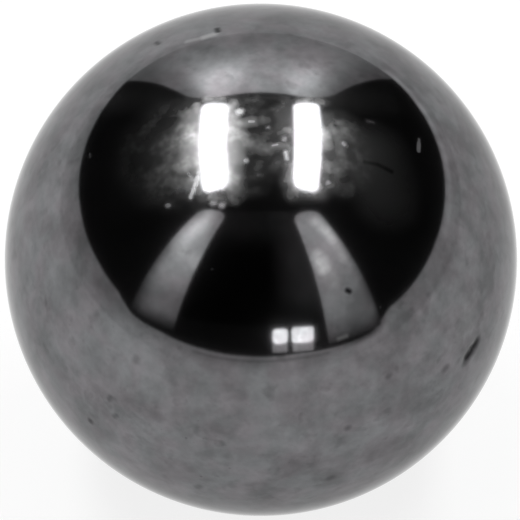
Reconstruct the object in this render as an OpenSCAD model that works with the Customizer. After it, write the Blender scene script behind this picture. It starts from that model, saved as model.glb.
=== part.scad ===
// Steel ball: one solid sphere of hardened bearing steel, ground and lapped to a mirror finish.
// The origin is the centre of the ball, and +Z points up.

/* [Ball] */
// Diameter over the lapped surface
ball_d = 10; // [1:0.5:50]

/* [Hidden] */
// Facets round the equator
$fn = 180;

// The ball has no hole, flat or seam: lapping leaves the same radius in every direction.
module ball() {
  color("dimgray") sphere(d = ball_d);
}

ball();
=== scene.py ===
import math

import bpy
import numpy as np
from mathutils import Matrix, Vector


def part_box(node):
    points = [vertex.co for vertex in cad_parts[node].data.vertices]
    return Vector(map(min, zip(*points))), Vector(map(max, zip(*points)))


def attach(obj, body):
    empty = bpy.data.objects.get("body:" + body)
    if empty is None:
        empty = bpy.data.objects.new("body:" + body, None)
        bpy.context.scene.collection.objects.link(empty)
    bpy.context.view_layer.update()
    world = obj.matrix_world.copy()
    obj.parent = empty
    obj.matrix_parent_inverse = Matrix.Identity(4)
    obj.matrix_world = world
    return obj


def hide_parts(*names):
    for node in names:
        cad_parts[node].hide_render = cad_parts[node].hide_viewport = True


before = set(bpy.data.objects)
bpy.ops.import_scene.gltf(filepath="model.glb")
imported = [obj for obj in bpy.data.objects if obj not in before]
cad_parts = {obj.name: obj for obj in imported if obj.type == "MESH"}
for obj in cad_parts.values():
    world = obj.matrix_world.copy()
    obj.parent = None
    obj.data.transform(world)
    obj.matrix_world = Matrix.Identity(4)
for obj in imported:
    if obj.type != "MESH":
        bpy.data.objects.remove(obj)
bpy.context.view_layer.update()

# Camera: a long lens looks down on the ball from 50 degrees above the table, straight from the front.
# The ball fills the picture, and the shift is only the few tenths of a pixel it lies off the middle.
lowest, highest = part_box("ball")
ball_radius = (highest.z - lowest.z) / 2
picture_side = 520
ball_middle_px = (260.4, 259.2)
ball_radius_px = 256.3
camera_height_deg = 50
lens_mm = 260
bpy.ops.object.select_all(action="DESELECT")
bpy.ops.object.camera_add(rotation=(math.radians(90 - camera_height_deg), 0, 0))
camera = bpy.context.object
camera.data.lens = lens_mm
slope_per_px = camera.data.sensor_width / lens_mm / picture_side
edge_angle = math.atan(ball_radius_px * slope_per_px)
camera_distance = ball_radius / math.sin(edge_angle)
camera.location = camera.rotation_euler.to_matrix() @ Vector((0, 0, camera_distance))
camera.data.shift_x = ((picture_side - 1) / 2 - ball_middle_px[0]) / picture_side
camera.data.shift_y = (ball_middle_px[1] - (picture_side - 1) / 2) / picture_side
camera.data.clip_start = ball_radius
bpy.context.scene.camera = camera
bpy.context.scene.view_settings.view_transform = "Standard"

# The ball: one solid sphere of hardened bearing steel, headed from wire, ground and lapped to a mirror.
# It starts as a cube cut fine and cast to a sphere, so that no pole shows in the mirror finish.
mm = 0.001
side_cuts = 79
bpy.ops.object.select_all(action="DESELECT")
bpy.ops.mesh.primitive_cube_add(size=2 * ball_radius)
ball = bpy.context.object
ball.name = "lapped_ball"

# Each side of the cube has a cell of its own in the map that colours are baked through.
map_columns, map_rows = 3, 2
cell_margin = 0.01
cell_corners = ((0, 0), (1, 0), (1, 1), (0, 1))
bake_map = ball.data.uv_layers[0]
bake_map.name = "OFBake"
for side in ball.data.polygons:
    cell_row, cell_column = divmod(side.index, map_columns)
    for corner, (across, up) in zip(side.loop_indices, cell_corners):
        u = cell_column + cell_margin + across * (1 - 2 * cell_margin)
        v = cell_row + cell_margin + up * (1 - 2 * cell_margin)
        bake_map.data[corner].uv = (u / map_columns, v / map_rows)

bpy.ops.object.mode_set(mode="EDIT")
bpy.ops.mesh.select_all(action="SELECT")
bpy.ops.mesh.subdivide(number_cuts=side_cuts)
bpy.ops.object.mode_set(mode="OBJECT")


def cast_to_sphere():
    """Brings every corner of the mesh out to the ball's radius."""
    cast = ball.modifiers.new("Round", "CAST")
    cast.factor = 1
    cast.radius = 0
    cast.use_radius_as_size = False
    cast.size = ball_radius
    bpy.ops.object.modifier_apply(modifier=cast.name)


cast_to_sphere()


def seen_at(x, y):
    """The point of the ball that shows at a pixel of the picture."""
    across = (x - ball_middle_px[0]) * slope_per_px
    down = (y - ball_middle_px[1]) * slope_per_px
    ray = camera.rotation_euler.to_matrix() @ Vector((across, -down, -1)).normalized()
    nearest = -camera.location.dot(ray)
    off_middle = (camera.location + ray * nearest).length
    depth = math.sqrt(max(ball_radius**2 - off_middle**2, 0))
    return np.array(camera.location + ray * (nearest - depth))


# Handling has marked the mirror: a gouge, a few scratches, pits that hold dark dirt, and bright nicks.
# A mark is given by the pixels of its two ends, its half width and depth in mm, the dirt that it holds
# (below zero for bright bare metal), and how rough it is inside.
gouge = [
    ((476.4, 341.2), (474, 346), 0.18, 0.014, 1.0, 0.4),
    ((471.2, 350), (467.2, 356), 0.22, 0.026, 1.15, 0.4),
    ((466.4, 358), (465, 361), 0.17, 0.006, 0.65, 0.3),
]
scratches = [
    ((213, 34), (203, 37), 0.14, 0.000, -0.9, 0.05),
    ((204, 37), (187, 41), 0.11, 0.000, -0.5, 0.05),
    ((198, 172), (194, 186), 0.055, 0.000, -0.3, 0.20),
    ((197, 177), (195, 183), 0.075, 0.000, -0.5, 0.34),
    ((195, 183), (193, 189), 0.080, 0.000, -0.7, 0.42),
    ((193, 189), (190.5, 195.5), 0.085, 0.000, -0.9, 0.48),
    ((184, 168), (193, 180), 0.060, 0.000, -0.3, 0.22),
    ((176, 188), (186, 189), 0.140, 0.000, 0.0, 0.24),
    ((364, 161.5), (377, 164), 0.065, 0.000, 0.5, 0.00),
    ((377, 164), (385, 168), 0.070, 0.000, 0.6, 0.00),
    ((385, 168), (391, 171), 0.075, 0.000, 0.7, 0.00),
]
dirty_pits = [
    ((216.5, 28.5), (217.5, 31), 0.10, 0.005, 0.9, 0.4),
    ((156, 42), (158, 43.5), 0.10, 0.004, 0.65, 0.4),
    ((349, 291), (347, 290), 0.090, 0.002, 1.0, 0.3),
    ((90, 420), (90, 421), 0.11, 0.003, 0.7, 0.3),
    ((110, 397), (109, 399), 0.10, 0.000, 0.4, 0.1),
    ((114, 416), (116, 415), 0.10, 0.000, 0.4, 0.1),
    ((197, 487), (199, 486), 0.13, 0.000, 0.4, 0.1),
    ((241, 398), (242, 394), 0.18, 0.000, 0.25, 0.0),
    ((135, 360), (136, 358), 0.13, 0.000, 0.3, 0.0),
    ((153, 412), (156, 415), 0.20, 0.000, 0.2, 0.0),
    ((388, 376), (389, 375), 0.11, 0.000, 0.4, 0.1),
    ((444, 369), (446, 367), 0.13, 0.000, 0.4, 0.1),
    ((347, 428), (348, 427), 0.11, 0.000, 0.4, 0.1),
    ((329, 478), (331, 477), 0.14, 0.000, 0.45, 0.1),
]
bright_nicks = [
    ((239, 111), (240, 111), 0.125, 0.000, -0.9, 0.55),
    ((249, 121), (253, 121), 0.070, 0.000, -0.3, 0.50),
    ((245, 160), (246, 160), 0.105, 0.000, -0.3, 0.50),
    ((257, 174), (258, 174), 0.080, 0.000, 0.0, 0.25),
    ((190, 196), (190, 197), 0.085, 0.000, -0.9, 0.50),
    ((190, 127), (191, 127), 0.065, 0.000, -0.2, 0.2),
    ((167, 205), (168, 205), 0.105, 0.000, -0.6, 0.6),
    ((221, 205), (222, 205), 0.105, 0.000, -0.3, 0.5),
    ((212, 203), (214, 203), 0.090, 0.000, 0.0, 0.35),
    ((267, 127), (268, 127), 0.080, 0.000, -0.1, 0.45),
    ((283, 139), (284, 138), 0.075, 0.000, 0.0, 0.35),
    ((272, 145), (277, 144), 0.070, 0.000, -0.1, 0.45),
    ((285, 152), (286, 158), 0.075, 0.000, -0.2, 0.45),
    ((343, 143), (344, 144), 0.110, 0.000, -0.3, 0.50),
    ((327.5, 182), (328, 182), 0.070, 0.000, -0.2, 0.35),
    ((367, 120.5), (373, 122), 0.095, 0.000, 0.0, 0.45),
    ((418.6, 139), (418.4, 144), 0.085, 0.000, -0.8, 0.55),
    ((418.4, 143), (418, 150), 0.095, 0.000, -0.95, 0.75),
    ((89.5, 154), (90, 156), 0.070, 0.000, -0.3, 0.3),
    ((338, 338.5), (346, 335.5), 0.075, 0.000, -0.9, 0.1),
]
marks = gouge + scratches + dirty_pits + bright_nicks

# Painted highlights: patches of brighter steel that brighten the strips and table where they show in
# the mirror. Each is given by the pixels of its two ends, its half width in mm, and how bright it is.
painted_highlight_patches = [
    ((315, 221), (322, 227), 0.15, 0.50),
    ((321, 227), (326, 231), 0.17, 0.62),
    ((327, 232), (333, 240), 0.15, 0.52),
    ((334, 241), (343, 257), 0.16, 0.24),
    ((317, 256), (320, 263), 0.20, 0.52),
    ((321, 262), (323, 267), 0.22, 0.95),
    ((326, 270), (333, 281), 0.20, 0.24),
    ((206, 217), (196, 230), 0.26, 0.25),
    ((185, 240), (178, 250), 0.24, 0.15),
    ((192, 256), (196, 264), 0.18, 0.16),
    ((468, 314), (466, 330), 0.50, 0.14),
]

# Broad smudges darken the steel. The first is painted shade, on the reflected rim at the lower left.
# Each is given by the pixels of its two ends, its half width in mm, and how dark it is.
smudges_and_painted_shade = [
    ((82, 298), (94, 346), 0.85, 0.16),
    ((252, 414), (252, 450), 0.62, 0.11),
    ((350, 444), (376, 452), 0.66, 0.10),
]

# Handling has also left a greasy veil round the middle of the mirror, thicker in some smears, with an
# even breath of it further out. Each is given by the pixels of its two ends, its half width in mm, and
# how thick it is.
smears = [
    ((172, 150), (194, 150), 1.38, 0.66),
    ((341, 136), (345, 166), 0.68, 0.48),
    ((258, 126), (264, 140), 0.95, 0.30),
    ((188, 126), (187, 157), 0.60, 0.95),
    ((170, 180), (187, 183), 0.27, 0.75),
    ((190, 118), (189, 138), 0.36, 1.05),
    ((189, 138), (188, 149), 0.42, 1.40),
    ((205, 99.5), (223, 99.5), 0.13, 0.60),
    ((196, 106), (195, 120), 0.15, 0.90),
    ((299, 99.5), (313, 99.5), 0.15, 0.42),
    ((314, 99), (321, 101), 0.15, 0.42),
    ((233, 106), (236, 128), 0.32, 0.75),
    ((235, 126), (237, 150), 0.40, 0.92),
    ((233, 150), (234, 186), 0.38, 0.95),
    ((236, 141), (236, 159), 0.32, 1.30),
    ((240, 123), (252, 121), 0.22, 1.20),
    ((252, 121), (267, 120), 0.18, 0.75),
    ((246, 143), (262, 150), 0.26, 0.80),
    ((262, 150), (280, 145), 0.24, 0.75),
    ((278, 110), (284, 132), 0.32, 0.52),
    ((282, 138), (284, 150), 0.22, 0.55),
    ((293, 192), (321, 191), 0.26, 0.48),
    ((211, 198), (236, 198), 0.18, 0.46),
    ((325, 132), (328, 145), 0.27, 0.85),
    ((340, 124), (346, 132), 0.22, 0.60),
    ((337, 132), (340, 150), 0.28, 0.80),
    ((246, 100), (282, 100), 0.28, 0.18),
    ((252, 164), (254, 180), 0.42, 0.30),
    ((290, 168), (290, 184), 0.28, 0.34),
    ((331, 184), (346, 187), 0.27, 0.58),
]
breath = [
    ((138, 150), (144, 174), 0.95, 0.14),
    ((379, 154), (387, 194), 0.88, 0.48),
    ((326, 97), (347, 99), 0.38, 0.08),
    ((121, 101), (150, 102), 0.50, 0.10),
    ((356, 101), (384, 103), 0.52, 0.09),
]

# The places in a line of these lists: its half width, then a mark's depth, dirt and roughness, or the
# one amount that the other lists give.
width_place, depth_place, dirt_place, scuff_place = 2, 3, 4, 5
amount_place = 3


def shares_across(lines, points):
    """How far each point is from each line on the ball, as a share of that line's half width."""
    shares = []
    for start, end, half_width, *_ in lines:
        first, last = seen_at(*start), seen_at(*end)
        run = last - first
        along = np.clip((points - first) @ run / (run @ run), 0, 1)
        line = first + along[:, None] * run
        line *= ball_radius / np.linalg.norm(line, axis=1)[:, None]
        shares.append(np.linalg.norm(points - line, axis=1) / (half_width * mm))
    return np.array(shares)


def column(lines, place):
    """One number of every line, down a column."""
    return np.array([line[place] for line in lines])[:, None]


def strengths(lines, points):
    """How much each line counts at each point: 1 in its middle, and 0 from its half width on."""
    return np.clip(1 - shares_across(lines, points) ** 2, 0, 1) ** 2


def amounts(lines, points):
    """The most that any of the lines brings to each point."""
    return (strengths(lines, points) * column(lines, amount_place)).max(axis=0)


def pick(kind, items, chosen):
    """Goes into edit mode with only the chosen corners or faces of a mesh selected."""
    bpy.ops.object.mode_set(mode="EDIT")
    bpy.ops.mesh.select_mode(type=kind)
    bpy.ops.mesh.select_all(action="DESELECT")
    bpy.ops.object.mode_set(mode="OBJECT")
    items.foreach_set("select", chosen)
    bpy.ops.object.mode_set(mode="EDIT")


# The mesh is cut finer under the smears and patches and round each mark, so that deep marks are real
# hollows in it. A face this many times smaller than the largest one is left as it is.
fine_enough = 60
wide_margin, close_margin = 0.16 * mm, 0.03 * mm
rounds = ((smears + painted_highlight_patches, 0, 2), (marks, wide_margin, 2), (marks, close_margin, 1))
for lines, margin, cuts in rounds:
    centres = np.empty(len(ball.data.polygons) * 3)
    ball.data.polygons.foreach_get("center", centres)
    areas = np.empty(len(ball.data.polygons))
    ball.data.polygons.foreach_get("area", areas)
    clear = (shares_across(lines, centres.reshape(-1, 3)) - 1) * column(lines, width_place) * mm
    coarse = areas > areas.max() / fine_enough
    pick("FACE", ball.data.polygons, (clear.min(axis=0) < margin) & coarse)
    bpy.ops.mesh.subdivide(number_cuts=cuts, ngon=False)
    bpy.ops.object.mode_set(mode="OBJECT")
    cast_to_sphere()

# What the marks, patches, smudges and veil bring to each corner of the mesh is kept there by name.
corner_count = len(ball.data.vertices)
places = np.empty(corner_count * 3)
ball.data.vertices.foreach_get("co", places)
places = places.reshape(-1, 3)
outwards = places / ball_radius
hollow = strengths(marks, places)
sunk = (hollow * column(marks, depth_place) * mm).sum(axis=0)
ball.data.vertices.foreach_set("co", (places - outwards * sunk[:, None]).ravel())
corner_values = {
    "dirt": np.minimum((hollow * column(marks, dirt_place)).max(axis=0), 1),
    "bare": (hollow * -column(marks, dirt_place)).max(axis=0),
    "scuff": (hollow * column(marks, scuff_place)).max(axis=0),
    "veil": amounts(smears, places),
    "breath": amounts(breath, places),
    "painted_highlight": amounts(painted_highlight_patches, places),
    "smudge_and_shade": amounts(smudges_and_painted_shade, places),
}
for name, values in corner_values.items():
    ball.data.attributes.new(name, "FLOAT", "POINT").data.foreach_set("value", values)

# Away from the hollows the normals are the sphere's own, so the mirror shows no facets.
ball.data.update()
bpy.ops.object.shade_smooth()
normals = np.empty(corner_count * 3)
ball.data.vertices.foreach_get("normal", normals)
normals = np.where(sunk[:, None] > 0, normals.reshape(-1, 3), outwards)
ball.data.normals_split_custom_set_from_vertices(normals)

# Its steel is dark and mirror bright, and the greasy veil on it hazes strong light.
dark_steel, pale_steel = (0.098, 0.098, 0.101), (0.204, 0.204, 0.211)
bare_and_highlight_steel, black_dirt_and_shade = (0.32, 0.32, 0.325), (0.010, 0.010, 0.011)
cool_tint, pink_tint = (0.98, 1.0, 1.0), (1.03, 0.985, 1.005)
lapped_roughness, veil_roughness, scuff_roughness = 0.075, 0.03, 0.45
thin_film, film_roughness, film_ior = 0.024, 0.29, 2.5
edge_tint = (0.72, 0.72, 0.72)
dust_share = 0.3
steel = bpy.data.materials.new("lapped_steel")
steel.use_nodes = True
shader = steel.node_tree.nodes["Principled BSDF"]
position = steel.node_tree.nodes.new("ShaderNodeTexCoord").outputs["Object"]


def noise(vector, scale, detail, roughness, distortion=0.0):
    """Cloudy noise, with scale in cells per metre."""
    texture = vector.id_data.nodes.new("ShaderNodeTexNoise")
    texture.inputs["Scale"].default_value = scale
    texture.inputs["Detail"].default_value = detail
    texture.inputs["Roughness"].default_value = roughness
    texture.inputs["Distortion"].default_value = distortion
    vector.id_data.links.new(vector, texture.inputs["Vector"])
    return texture.outputs["Fac"]


def ranged(value, low, high, to_low=0.0, to_high=1.0):
    """Eases a value from one range to another, and holds it there."""
    ease = value.id_data.nodes.new("ShaderNodeMapRange")
    ease.interpolation_type = "SMOOTHSTEP"
    for socket, number in zip(ease.inputs[1:5], (low, high, to_low, to_high)):
        socket.default_value = number
    value.id_data.links.new(value, ease.inputs["Value"])
    return ease.outputs["Result"]


def specks(vector, scale, size, core=0.3):
    """Round specks of up to size, in shares of a cell, that keep a full strength of 1 over their core."""
    cells = vector.id_data.nodes.new("ShaderNodeTexVoronoi")
    cells.inputs["Scale"].default_value = scale
    vector.id_data.links.new(vector, cells.inputs["Vector"])
    return ranged(cells.outputs["Distance"], size * core, size, 1.0, 0.0)


def worked(operation, *values):
    """One step of arithmetic between node outputs and plain numbers."""
    tree = next(value.id_data for value in values if not isinstance(value, (int, float)))
    step = tree.nodes.new("ShaderNodeMath")
    step.operation = operation
    for socket, value in zip(step.inputs, values):
        if isinstance(value, (int, float)):
            socket.default_value = value
        else:
            tree.links.new(value, socket)
    return step.outputs["Value"]


def blended(share, first, second, way="MIX"):
    """Mixes two colours by a share, each of the three a node output or a plain value."""
    tree = steel.node_tree
    mixer = tree.nodes.new("ShaderNodeMix")
    mixer.data_type = "RGBA"
    mixer.blend_type = way
    for socket, value in zip((mixer.inputs[0], *mixer.inputs[6:8]), (share, first, second)):
        if isinstance(value, bpy.types.NodeSocket):
            tree.links.new(value, socket)
        else:
            socket.default_value = (*value, 1) if isinstance(value, tuple) else value
    return mixer.outputs[2]


def corner_value(name):
    """A value that the ball's mesh keeps at its corners."""
    reader = steel.node_tree.nodes.new("ShaderNodeAttribute")
    reader.attribute_name = name
    return reader.outputs["Fac"]


# The veil is a film that curls and clots where it is thin, and evens out where it is thick.
curls = ranged(noise(position, scale=2200, detail=2, roughness=0.55), 0.35, 0.67, 0.0, 1.4)
grit = ranged(noise(position, scale=7000, detail=1, roughness=0.5), 0.3, 0.7, 0.60, 1.40)
veil = corner_value("veil")
even = ranged(veil, 0.3, 0.9, 0.27, 0.52)
uneven = worked("MULTIPLY", worked("SUBTRACT", 1.0, even), worked("MULTIPLY", curls, grit))
film = worked("MULTIPLY_ADD", veil, worked("ADD", even, uneven), thin_film)
film = worked("ADD", film, corner_value("breath"))
film = worked("MULTIPLY", film, worked("SUBTRACT", 1.0, corner_value("dirt")))

# Dust lies all over the ball, as coarse specks and fine ones at half strength.
coarse_dust = specks(position, scale=1500, size=0.055)
fine_dust = worked("MULTIPLY", specks(position, scale=3800, size=0.09), 0.5)
dust = worked("MULTIPLY", worked("MAXIMUM", coarse_dust, fine_dust), dust_share)
dirt = worked("MAXIMUM", corner_value("dirt"), dust)
scuff = worked("MAXIMUM", corner_value("scuff"), dust)

# Mottling of four sizes makes the tone of the steel, and a painted light gradient makes it a little
# paler to the left.
grain = ranged(noise(position, scale=4500, detail=3, roughness=0.5), 0.3, 0.7)
blotches = ranged(noise(position, scale=1350, detail=3, roughness=0.5), 0.33, 0.67)
clouds = ranged(noise(position, scale=520, detail=2, roughness=0.5), 0.35, 0.65)
flecks = ranged(noise(position, scale=2600, detail=2, roughness=0.5), 0.58, 0.72)
axes = steel.node_tree.nodes.new("ShaderNodeSeparateXYZ")
steel.node_tree.links.new(position, axes.inputs["Vector"])
mottling_and_side_light = ((blotches, 0.43), (clouds, 0.22), (flecks, -0.24), (axes.outputs["X"], -0.18 / ball_radius))
paleness_and_side_light = worked("MULTIPLY", grain, 0.22)
for layer, weight in mottling_and_side_light:
    paleness_and_side_light = worked("MULTIPLY_ADD", layer, weight, paleness_and_side_light)
tone = blended(paleness_and_side_light, dark_steel, pale_steel)
tarnish = ranged(noise(position, scale=1500, detail=4, roughness=0.55, distortion=0.3), 0.35, 0.65)
colour = blended(1.0, tone, blended(tarnish, cool_tint, pink_tint), "MULTIPLY")
# The smudges darken the colour; the first of them is painted shade.
colour = blended(corner_value("smudge_and_shade"), colour, black_dirt_and_shade)

# The painted highlight patches are uneven, and dirt lies over everything else.
patchy = ranged(noise(position, scale=2600, detail=3, roughness=0.6), 0.35, 0.65, 0.78, 1.22)
bare_and_highlight = worked("MAXIMUM", worked("MULTIPLY", corner_value("painted_highlight"), patchy), corner_value("bare"))
colour = blended(bare_and_highlight, colour, bare_and_highlight_steel)
colour = blended(dirt, colour, black_dirt_and_shade)
roughness = worked("MULTIPLY_ADD", veil, veil_roughness, lapped_roughness)
roughness = worked("MULTIPLY_ADD", scuff, scuff_roughness, roughness)
steel.node_tree.links.new(colour, shader.inputs["Base Color"])
steel.node_tree.links.new(roughness, shader.inputs["Roughness"])
steel.node_tree.links.new(film, shader.inputs["Coat Weight"])
shader.inputs["Coat Roughness"].default_value = film_roughness
shader.inputs["Coat IOR"].default_value = film_ior
shader.inputs["Metallic"].default_value = 1
shader.inputs["Specular Tint"].default_value = (*edge_tint, 1)
ball.data.materials.append(steel)
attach(ball, "root")
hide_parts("ball")

# The table: a broad white dish, flat under the ball, with a low rim that turns up all round. The ball
# stands on it, and its white reaches a few degrees above the horizon in the mirror.
dish_radius = 400 * mm
dish_sides = 180
rim_height_deg = 7.8
cove_radius = dish_radius * math.tan(math.radians(rim_height_deg)) + ball_radius
cove_steps = 16
shaded_band_steps = (12, 14)
shaded_band_turn_deg = 28
flat_radius = dish_radius - cove_radius
bpy.ops.object.select_all(action="DESELECT")
bpy.ops.mesh.primitive_circle_add(
    vertices=dish_sides, radius=flat_radius, fill_type="NGON", location=(0, 0, -ball_radius)
)
table = bpy.context.object
table.name = "table"
bpy.ops.object.mode_set(mode="EDIT")
bpy.ops.mesh.select_mode(type="EDGE")
bpy.ops.mesh.select_all(action="SELECT")
ring_radius, ring_heights = flat_radius, [0]
for step in range(1, cove_steps + 1):
    turn = math.pi / 2 * step / cove_steps
    next_radius = flat_radius + cove_radius * math.sin(turn)
    ring_heights.append(cove_radius * (1 - math.cos(turn)))
    rise, widen = ring_heights[-1] - ring_heights[-2], next_radius / ring_radius
    bpy.ops.mesh.extrude_edges_move(TRANSFORM_OT_translate={"value": (0, 0, rise)})
    bpy.ops.transform.resize(value=(widen, widen, 1))
    ring_radius = next_radius
bpy.ops.object.mode_set(mode="OBJECT")
bpy.ops.object.shade_smooth()


def matt(name, shade, glow=0.0):
    """An even matt finish, which may give light of its own. Returns the material and its shader."""
    finish = bpy.data.materials.new(name)
    finish.use_nodes = True
    surface = finish.node_tree.nodes["Principled BSDF"]
    surface.inputs["Base Color"].default_value = (shade, shade, shade, 1)
    surface.inputs["Roughness"].default_value = 0.9
    surface.inputs["Specular IOR Level"].default_value = 0
    surface.inputs["Emission Color"].default_value = (1, 1, 1, 1)
    surface.inputs["Emission Strength"].default_value = glow
    return finish, surface


# The white is mostly a plain glow that only the camera, the mirror and glass see, so it doesn't wash out
# the ball's shadow. Painted shade darkens it towards both sides, except at the front, and painted light
# brightens it a little at the back.
paints = (("white_paint", 0.20, 0.83), ("painted_shade_band", 0.12, 0.54))
fade_offset = 8 * mm
side_fade, side_shade_depth = (100 * mm, 300 * mm), 0.28
front_fade = (-280 * mm, -120 * mm)
back_rise, back_light_gain = (50 * mm, 250 * mm), 1.10
for name, shade, glow in paints:
    paint, surface = matt(name, shade)
    paint.cycles.emission_sampling = "NONE"
    rays = paint.node_tree.nodes.new("ShaderNodeLightPath").outputs
    seen = worked("ADD", rays["Is Camera Ray"], rays["Is Glossy Ray"])
    seen = worked("ADD", seen, rays["Is Transmission Ray"])
    parts = paint.node_tree.nodes.new("ShaderNodeSeparateXYZ")
    place = paint.node_tree.nodes.new("ShaderNodeTexCoord").outputs["Object"]
    paint.node_tree.links.new(place, parts.inputs["Vector"])
    beside = worked("ABSOLUTE", worked("ADD", parts.outputs["X"], fade_offset))
    painted_side_shade = ranged(beside, *side_fade, 0.0, side_shade_depth)
    painted_side_shade = worked("MULTIPLY", painted_side_shade, ranged(parts.outputs["Y"], *front_fade))
    shadow = paint.node_tree.nodes.new("ShaderNodeAttribute")
    shadow.attribute_name = "shadow"
    unshaded = worked("SUBTRACT", 1.0, shadow.outputs["Fac"])
    lit = worked("MULTIPLY", worked("SUBTRACT", 1.0, painted_side_shade), unshaded)
    lit = worked("MULTIPLY", lit, ranged(parts.outputs["Y"], *back_rise, glow, glow * back_light_gain))
    lit = worked("MULTIPLY", seen, lit)
    paint.node_tree.links.new(lit, surface.inputs["Emission Strength"])
    table.data.materials.append(paint)

# A band along the front of the rim has painted shade: its paint glows less, as a shaded groove would.
shaded_band_low, shaded_band_high = (ring_heights[step] for step in shaded_band_steps)
for face in table.data.polygons:
    face_turn_deg = math.degrees(math.atan2(face.center.x, -face.center.y))
    in_shaded_band = shaded_band_low < face.center.z < shaded_band_high and abs(face_turn_deg) < shaded_band_turn_deg
    face.material_index = int(in_shaded_band)

# The rim isn't level: it stands higher at the sides and the back than at the front and the back corners.
# Each pair is a turn from the front and the rim's height there, seen from the ball, both in degrees.
rim = (
    (-180, 9.3), (-165, 8.4), (-147, 6.0), (-130, 7.0), (-115, 8.2), (-100, 9.4), (-80, 10.0),
    (-66, 9.6), (-57, 6.7), (-50, 6.6), (-44, 7.1), (-36, 7.0), (16, 7.2), (34, 5.5),
    (47, 4.7), (54, 7.8), (57, 8.9), (66, 8.6), (90, 8.6), (104, 7.9), (118, 7.0),
    (132, 6.2), (146, 5.7), (165, 8.4), (180, 9.3),
)
rim_turns_deg, rim_heights_deg = zip(*rim)

# Shade lies under the rim, deepest behind the strips' feet. Each row is a turn in degrees, how dark the
# shade is there, and the share of the rim's height from which it rises.
rim_shade = (
    (-142, 0, 0.1), (-132, 0.24, 0.1), (-112, 0.26, 0.1), (-103, 0.18, 0.1), (-94, 0.38, 0.1),
    (-84, 0.3, 0.1), (-74, 0.42, 0.1), (-64, 0.32, 0.1), (-56, 0.34, 0.4), (-40, 0.32, 0.4),
    (-30, 0.3, 0.15), (-6, 0.28, 0.15), (4, 0.1, 0.2), (26, 0, 0.5), (40, 0.75, 0.5),
    (50, 0.75, 0.5), (58, 0.16, 0.55), (80, 0.16, 0.55), (90, 0, 0.5),
)
shade_turns_deg, shade_depths, shade_starts = zip(*rim_shade)
shade_rise = 0.38

# Near the top of the rim's right side a painted highlight stands for a bead that catches light, stronger
# at some turns than at others.
painted_bead = (
    (92, 0), (100, 0.42), (112, 0.15), (119, 0.85), (128, 0.35), (138, 0.8), (147, 1.0), (154, 0),
)
painted_bead_turns_deg, painted_bead_gains = zip(*painted_bead)
painted_bead_height, painted_bead_half_width = 0.72, 0.30
# Each corner of the rim keeps its painted shade, less the painted highlight.
rim_shade_and_gleam = []
for vertex in table.data.vertices:
    turn_deg = math.degrees(math.atan2(vertex.co.x, -vertex.co.y))
    height = vertex.co.z / cove_radius
    starts = np.interp(turn_deg, shade_turns_deg, shade_starts)
    shade = np.interp(turn_deg, shade_turns_deg, shade_depths)
    shade *= np.interp(height, (starts, starts + shade_rise), (0, 1))
    painted_gleam = np.interp(turn_deg, painted_bead_turns_deg, painted_bead_gains)
    painted_gleam *= max(1 - ((height - painted_bead_height) / painted_bead_half_width) ** 2, 0) ** 2
    rim_shade_and_gleam.append(shade - painted_gleam)
    height_deg = np.interp(turn_deg, rim_turns_deg, rim_heights_deg)
    vertex.co.z *= math.tan(math.radians(height_deg)) / math.tan(math.radians(rim_height_deg))
table.data.attributes.new("shadow", "FLOAT", "POINT").data.foreach_set("value", rim_shade_and_gleam)

# The studio: two long flat lamps side by side over the table, a card behind, and two tall strips that
# hang in front, left and right of the camera. Card and strips are no lamps: their light is painted on as
# a glow. The room round them is dark.
lamp_height = 500 * mm
corner_segments = 8


def panel(name, corners, finish, rounding=0.0, rounded_above=-1.0):
    """A flat panel of four corners, in shares of the lamp height, rounded at those above a height."""
    bpy.ops.object.select_all(action="DESELECT")
    bpy.ops.mesh.primitive_plane_add(size=1)
    made = bpy.context.object
    made.name = name
    for vertex, corner in zip(made.data.vertices, corners):
        vertex.co = Vector(corner) * lamp_height
    if rounding:
        pick("VERT", made.data.vertices, [corner[2] > rounded_above for corner in corners])
        bpy.ops.mesh.bevel(offset=rounding * lamp_height, segments=corner_segments, affect="VERTICES")
        bpy.ops.object.mode_set(mode="OBJECT")
    made.data.materials.append(finish)


def across_card(finish):
    """How far a card's point lies to the right and up, in shares of the lamp height."""
    place = finish.node_tree.nodes.new("ShaderNodeTexCoord").outputs["Object"]
    parts = finish.node_tree.nodes.new("ShaderNodeSeparateXYZ")
    finish.node_tree.links.new(place, parts.inputs["Vector"])
    return [worked("DIVIDE", parts.outputs[axis], lamp_height) for axis in ("X", "Z")]


# The lamps lie level, with their inner and outer edges this far out, and flare a little towards the back.
lamp_glow, lamp_rounding, lamp_flare = 10.0, 0.065, 0.009
inner_front, outer_front, inner_back, outer_back = -0.139, -0.160, 0.68, 0.77
lamp_edges = ((-1, "left", 0.239, 0.459), (1, "right", 0.236, 0.448))
lamp_finish, _ = matt("lamp_face", 0.0, lamp_glow)
for side, word, inner, outer in lamp_edges:
    front = ((inner, inner_front), (outer, outer_front))
    back = ((inner, inner_back), (outer + lamp_flare, outer_back))
    panel("lamp_" + word, [(side * x, y, 1) for x, y in front + back], lamp_finish, lamp_rounding)

# The strips glow with painted light, as if lit from above: they fade towards the table, at their tips and
# at their outer edges.
strip_y, strip_rounding, upper_half = -0.34, 0.15, 0.5
strip_corners = {
    "left": ((-0.260, 0.070), (-0.540, 0.088), (-0.263, 1.00), (-0.580, 1.18)),
    "right": ((0.182, 0.055), (0.425, 0.050), (0.237, 0.95), (0.520, 1.13)),
}
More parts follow.
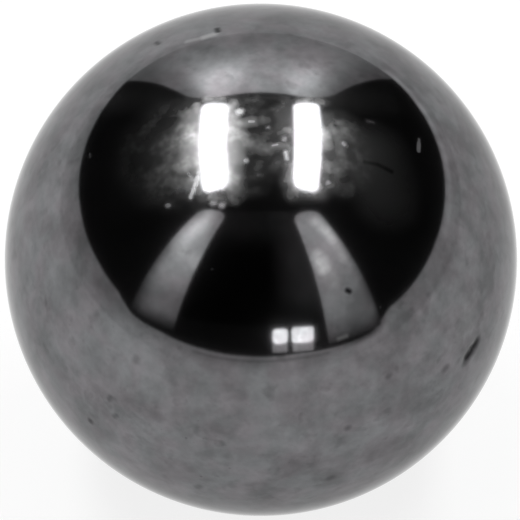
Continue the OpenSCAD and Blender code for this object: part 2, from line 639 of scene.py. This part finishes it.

# A strip's painted light: where its foot fades in, the glow that foot, middle and top each add, how far
# the fade of its outer edge reaches in, and how much the inside of its top and the outside of its foot
# are dimmed.
strip_painted_light = {
    "left": ((0.07, 0.15), (0.50, 1.24, 1.00), 0.55, 0.66, 0.0),
    "right": ((0.03, 0.15), (0.93, 0.54, 0.20), 0.25, 0.0, 0.22),
}
middle_fade, top_fade = (0.18, 0.40), (0.42, 0.65)
tip_fade, tip_share = (0.75, 1.08), 0.6
for word, corners in strip_corners.items():
    foot_fade, glows, outer_fade, inner_dim, foot_dim = strip_painted_light[word]
    finish, surface = matt("strip_" + word, 0.0)
    right, up = across_card(finish)
    edges = []
    for (foot_x, foot_z), (top_x, top_z) in (corners[0::2], corners[1::2]):
        lean = (abs(top_x) - abs(foot_x)) / (top_z - foot_z)
        edges.append(worked("MULTIPLY_ADD", up, lean, abs(foot_x) - lean * foot_z))
    inside = worked("SUBTRACT", worked("ABSOLUTE", right), edges[0])
    share = worked("DIVIDE", inside, worked("SUBTRACT", edges[1], edges[0]))
    lit = worked("ADD", ranged(up, *foot_fade, 0.0, glows[0]), ranged(up, *middle_fade, 0.0, glows[1]))
    lit = worked("ADD", lit, ranged(up, *top_fade, 0.0, glows[2]))
    outer_shade = ranged(share, 1 - outer_fade, 1.1, 0.0, 0.9)
    outer_shade = worked("MULTIPLY", outer_shade, ranged(up, 0.35, 0.75, 1.0, 0.6))
    inner_shade = ranged(share, 0.0, 0.65, inner_dim, 0.0)
    inner_shade = worked("MULTIPLY", inner_shade, ranged(up, 0.35, 0.65))
    foot_shade = ranged(share, 0.2, 1.0, 0.0, foot_dim)
    foot_shade = worked("MULTIPLY", foot_shade, ranged(up, 0.15, 0.35, 1.0, 0.0))
    lit = worked("MULTIPLY", lit, worked("SUBTRACT", 1.0, worked("ADD", outer_shade, inner_shade)))
    lit = worked("MULTIPLY", lit, worked("SUBTRACT", 1.0, foot_shade))
    lit = worked("MULTIPLY", lit, ranged(up, *tip_fade, 1.0, tip_share))
    finish.node_tree.links.new(lit, surface.inputs["Emission Strength"])
    panel("strip_" + word, [(x, strip_y, z) for x, z in corners], finish, strip_rounding, upper_half)

# A dim wall stands behind the strips and shows between them. Its right side and top have painted light.
wall_y = -0.36
painted_side_light, painted_top_light = 0.090, 0.025
wall_corners = ((-0.30, 0.14), (0.28, 0.14), (-0.30, 1.05), (0.28, 1.05))
wall, surface = matt("dim_wall", 0.0)
right, up = across_card(wall)
lit = worked("MULTIPLY", ranged(right, 0.02, 0.18, 0.0, painted_side_light), ranged(up, 0.13, 0.26))
lit = worked("MULTIPLY", lit, ranged(up, 0.35, 0.75, 1.0, 0.4))
lit = worked("ADD", lit, ranged(up, 0.45, 0.75, 0.0, painted_top_light))
wall.node_tree.links.new(lit, surface.inputs["Emission Strength"])
panel("dim_wall", [(x, wall_y, z) for x, z in wall_corners], wall)

# The back card glows with painted light, brightest in two pools over the lamps' ends, and dim at its
# sides and foot.
card_y, card_rounding = 0.82, 0.26
card_corners = ((-0.52, 0), (0.505, 0), (-0.52, 1.02), (0.505, 1.02))
left_glow, right_glow = 0.40, 0.32
pool_lean, pool_foot = 0.26, 0.07
left_pool, right_pool = 1.72, 1.0
finish, surface = matt("back_card", 0.0)
right, up = across_card(finish)
sideways = worked("ABSOLUTE", right)
middle = ranged(sideways, 0.24, 0.50, 1.0, 0.0)
dim = ranged(right, -0.2, 0.4, left_glow, right_glow)
dim = worked("MULTIPLY", dim, ranged(up, 0.15, 0.60, 0.90, 1.65))
lit = worked("MULTIPLY_ADD", middle, ranged(up, 0.15, 0.70, 0.45, 1.18), dim)
pool_middle = worked("MULTIPLY_ADD", up, pool_lean, pool_foot)
off_pool = worked("ABSOLUTE", worked("SUBTRACT", sideways, pool_middle))
pool = worked("MULTIPLY", ranged(off_pool, 0.02, 0.22, 1.0, 0.0), ranged(up, 0.42, 0.68))
pool = worked("MULTIPLY", pool, ranged(up, 0.75, 1.0, 1.0, 0.7))
lit = worked("MULTIPLY_ADD", pool, ranged(right, -0.1, 0.1, left_pool, right_pool), lit)
finish.node_tree.links.new(lit, surface.inputs["Emission Strength"])
panel("back_card", [(x, card_y, z) for x, z in card_corners], finish, card_rounding, upper_half)

# Two small square lamps stand low in front of the table, each over a foot with a dimmer painted glow.
# Each is given by the ends of its top edge, of the edge between lamp and foot, and of its bottom edge.
small_lamp_y, small_lamp_rounding = -0.9, 0.027
small_lamp_glow, painted_foot_glow = 6.2, 1.15
small_lamp, _ = matt("small_lamp", 0.0, small_lamp_glow)
painted_light_foot, _ = matt("painted_light_foot", 0.0, painted_foot_glow)
small_lamp_rows = (
    (
        ((0.081, 0.320), (0.188, 0.317)),
        ((0.078, 0.208), (0.179, 0.204)),
        ((0.077, 0.143), (0.171, 0.138)),
    ),
    (
        ((0.218, 0.325), (0.388, 0.313)),
        ((0.208, 0.201), (0.366, 0.188)),
        ((0.213, 0.136), (0.358, 0.124)),
    ),
)
for top, between, bottom in small_lamp_rows:
    lamp_face = [(x, small_lamp_y, z) for x, z in between + top]
    panel("small_lamp", lamp_face, small_lamp, small_lamp_rounding)
    panel("painted_light_foot", [(x, small_lamp_y, z) for x, z in bottom + between], painted_light_foot)

# The room is almost black, so the mirror is dark where no lamp, card or table shows in it.
room_shade = 0.009
room = bpy.data.worlds.new("dark_room")
room.use_nodes = True
room.node_tree.nodes["Background"].inputs["Color"].default_value = (room_shade, room_shade, room_shade, 1)
bpy.context.scene.world = room
